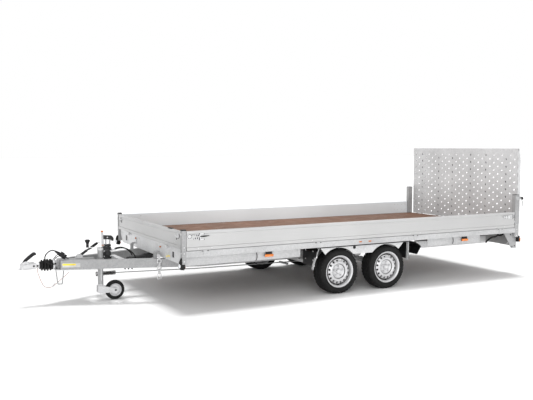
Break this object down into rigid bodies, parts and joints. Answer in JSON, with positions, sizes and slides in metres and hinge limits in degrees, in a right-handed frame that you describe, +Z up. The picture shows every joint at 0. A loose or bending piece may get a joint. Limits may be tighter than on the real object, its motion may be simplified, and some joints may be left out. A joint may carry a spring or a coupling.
{
  "type": "tilting car hauler trailer",
  "caption": "Flatbed tilting car trailer with folding side boards, a folding rear mesh ramp, tandem wheels, an overrun coupling and a jockey wheel.",
  "frame": {"origin": "on the ground at the centre of the overall box", "axes": "+X forward to the coupling, +Y to the trailer's left, +Z up"},
  "size_m": [6.135, 2.23, 1.645],
  "materials": {
    "galvanised": "spangled zinc, matt",
    "plywood": "film faced, dark brown",
    "aluminium": "satin anodised",
    "black": "satin",
    "tyre": "matt",
    "silver": "silver paint",
    "orange_lens": "gloss",
    "red_lens": "gloss",
    "hose": "matt"
  },
  "bodies": {
    "chassis": {"beam_left": "galvanised", "beam_right": "galvanised", "pivot_tube": "galvanised", "pump_crossmember": "galvanised", "cylinder_crossmember": "galvanised", "drawbar_plate": "galvanised", "overrun_housing": "galvanised", "bellows": "hose", "coupling_head": "galvanised", "coupling_handle": "black", "handbrake_lever": "black", "jockey_tube": "galvanised", "jockey_crank": "galvanised", "hand_pump": "black", "pump_lever": "galvanised", "brake_rod": "galvanised", "axle_front": "galvanised", "axle_rear": "galvanised", "mudguard_left": "galvanised", "mudguard_right": "galvanised", "hose_left": "hose", "hose_right": "hose", "plug": "black", "plug_lead": "hose", "breakaway_cable": "hose"},
    "bed": {"floor": "plywood", "rail_left": "galvanised", "rail_right": "galvanised", "post_front_left": "galvanised", "post_front_right": "galvanised", "post_rear_left": "galvanised", "post_rear_right": "galvanised", "front_beam": "galvanised", "rear_beam": "galvanised", "bed_frame": "galvanised", "position_lamp_left": "black", "position_lamp_right": "black", "side_marker_front_left": "orange_lens", "side_marker_front_right": "orange_lens", "side_marker_rear_left": "orange_lens", "side_marker_rear_right": "orange_lens", "rear_lamp_left": "red_lens", "rear_lamp_right": "red_lens"},
    "side_board_left": {"side_left": "aluminium"},
    "side_board_right": {"side_right": "aluminium"},
    "front_board": {"front_board": "aluminium"},
    "ramp": {"ramp": "galvanised"},
    "wheel_front_left": {"tyre_front_left": "tyre", "rim_front_left": "silver"},
    "wheel_front_right": {"tyre_front_right": "tyre", "rim_front_right": "silver"},
    "wheel_rear_left": {"tyre_rear_left": "tyre", "rim_rear_left": "silver"},
    "wheel_rear_right": {"tyre_rear_right": "tyre", "rim_rear_right": "silver"},
    "jockey_fork": {"jockey_fork": "galvanised"},
    "jockey_wheel": {"jockey_tyre": "tyre", "jockey_rim": "silver"},
    "cylinder_barrel": {"cylinder_barrel": "black"},
    "cylinder_rod": {"cylinder_rod": "silver"}
  },
  "joints": [
    {"name": "bed_tilt", "type": "hinge", "parent": "chassis", "child": "bed", "pos_m": [-1.6175, 0, 0.42], "axis": [0, -1, 0], "range_deg": [0, 14]},
    {"name": "side_left_fold", "type": "hinge", "parent": "bed", "child": "side_board_left", "pos_m": [-0.6175, 1.103, 0.6245], "axis": [-1, 0, 0], "range_deg": [0, 180]},
    {"name": "side_right_fold", "type": "hinge", "parent": "bed", "child": "side_board_right", "pos_m": [-0.6175, -1.103, 0.6245], "axis": [1, 0, 0], "range_deg": [0, 180]},
    {"name": "front_board_fold", "type": "hinge", "parent": "bed", "child": "front_board", "pos_m": [1.6855, 0, 0.6375], "axis": [0, 1, 0], "range_deg": [0, 95]},
    {"name": "ramp_fold", "type": "hinge", "parent": "bed", "child": "ramp", "pos_m": [-3.0175, 0, 0.62], "axis": [0, -1, 0], "range_deg": [0, 125]},
    {"name": "jockey_swivel", "type": "hinge", "parent": "chassis", "child": "jockey_fork", "pos_m": [2.2375, 0.1, 0.1697], "axis": [0, 0, 1], "continuous": true},
    {"name": "jockey_spin", "type": "hinge", "parent": "jockey_fork", "child": "jockey_wheel", "pos_m": [2.0825, 0.1, 0.10568], "axis": [0, 1, 0], "continuous": true},
    {"name": "cylinder_swing", "type": "hinge", "parent": "chassis", "child": "cylinder_barrel", "pos_m": [1.9325, 0, 0.405], "axis": [0, 1, 0], "range_deg": [0, 26]},
    {"name": "cylinder_stroke", "type": "slide", "parent": "cylinder_barrel", "child": "cylinder_rod", "axis": [-0.9929, 0, 0.1193], "range_m": [0, 0.31]},
    {"name": "wheel_front_left_spin", "type": "hinge", "parent": "chassis", "child": "wheel_front_left", "pos_m": [-0.2575, 0.9428, 0.25482], "axis": [0, 1, 0], "continuous": true},
    {"name": "wheel_front_right_spin", "type": "hinge", "parent": "chassis", "child": "wheel_front_right", "pos_m": [-0.2575, -0.9428, 0.25482], "axis": [0, 1, 0], "continuous": true},
    {"name": "wheel_rear_left_spin", "type": "hinge", "parent": "chassis", "child": "wheel_rear_left", "pos_m": [-0.9275, 0.9428, 0.25482], "axis": [0, 1, 0], "continuous": true},
    {"name": "wheel_rear_right_spin", "type": "hinge", "parent": "chassis", "child": "wheel_rear_right", "pos_m": [-0.9275, -0.9428, 0.25482], "axis": [0, 1, 0], "continuous": true}
  ],
  "couplings": [
    {"joint": "cylinder_swing", "follows": "bed_tilt", "ratio": 1.8369},
    {"joint": "cylinder_stroke", "follows": "bed_tilt", "m_per_rad": 1.2549}
  ]
}
